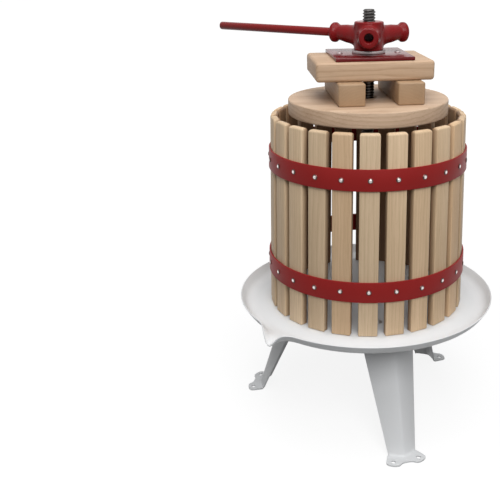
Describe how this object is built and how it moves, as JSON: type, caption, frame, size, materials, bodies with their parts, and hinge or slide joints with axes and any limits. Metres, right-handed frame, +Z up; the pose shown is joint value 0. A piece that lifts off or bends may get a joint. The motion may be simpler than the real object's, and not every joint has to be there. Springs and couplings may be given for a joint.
{
  "type": "basket fruit press",
  "caption": "Tabletop screw press: slatted wooden basket on a round white tray with legs, wooden pressing boards and a red nut with a bar handle.",
  "frame": {"origin": "on the ground under the axis of the screw, level with the undersides of the feet", "axes": "+Z up along the screw, -Y towards the tip of the spout, +X to the right of someone who faces the spout from in front"},
  "size_m": [0.4665, 0.4121, 0.626],
  "materials": {
    "white_enamel": "semi-gloss white powder coat on pressed steel",
    "red_paint": "semi-gloss red paint on steel",
    "red_casting": "gloss red enamel on cast iron",
    "screw_steel": "dark oiled rolled thread",
    "zinc": "zinc plated",
    "slat_wood": "planed hardwood, unvarnished",
    "board_wood": "planed hardwood, unvarnished"
  },
  "bodies": {
    "base": {"tray": "white_enamel", "leg_front_right": "white_enamel", "leg_rear": "white_enamel", "leg_front_left": "white_enamel", "leg_bolts": "zinc", "leg_nuts": "zinc", "screw_spindle": "screw_steel", "base_washer": "zinc", "base_nut": "zinc", "base_plate": "zinc", "base_locknut": "zinc"},
    "basket": {"slat_01": "slat_wood", "slat_02": "slat_wood", "slat_03": "slat_wood", "slat_04": "slat_wood", "slat_05": "slat_wood", "slat_06": "slat_wood", "slat_07": "slat_wood", "slat_08": "slat_wood", "slat_09": "slat_wood", "slat_10": "slat_wood", "slat_11": "slat_wood", "slat_12": "slat_wood", "slat_13": "slat_wood", "slat_14": "slat_wood", "slat_15": "slat_wood", "slat_16": "slat_wood", "slat_17": "slat_wood", "slat_18": "slat_wood", "slat_19": "slat_wood", "slat_20": "slat_wood", "slat_21": "slat_wood", "slat_22": "slat_wood", "slat_23": "slat_wood", "slat_24": "slat_wood", "lower_hoop": "red_paint", "upper_hoop": "red_paint", "lower_hoop_nails": "zinc", "upper_hoop_nails": "zinc"},
    "press_stack": {"press_disc": "board_wood", "sleeper_left": "board_wood", "sleeper_right": "board_wood", "top_block": "board_wood", "pressure_plate": "red_paint", "plate_screws": "zinc", "thrust_washer": "zinc"},
    "nut": {"capstan_nut": "red_casting"},
    "bar": {"handle_bar": "red_paint"}
  },
  "joints": [
    {"name": "press_lift", "type": "slide", "parent": "base", "child": "press_stack", "axis": [0, 0, 1], "range_m": [-0.096, 0.016]},
    {"name": "nut_turn", "type": "hinge", "parent": "press_stack", "child": "nut", "pos_m": [0, 0, 0.5921], "axis": [0, 0, 1], "range_deg": [-8640, 1440]},
    {"name": "bar_slide", "type": "slide", "parent": "nut", "child": "bar", "axis": [-0.9836, -0.1805, 0], "range_m": [0, 0.03]},
    {"name": "basket_turn", "type": "hinge", "parent": "base", "child": "basket", "pos_m": [0, 0, 0.3345], "axis": [0, 0, 1], "continuous": true}
  ],
  "couplings": [
    {"joint": "press_lift", "follows": "nut_turn", "m_per_rad": 0.00063662}
  ]
}
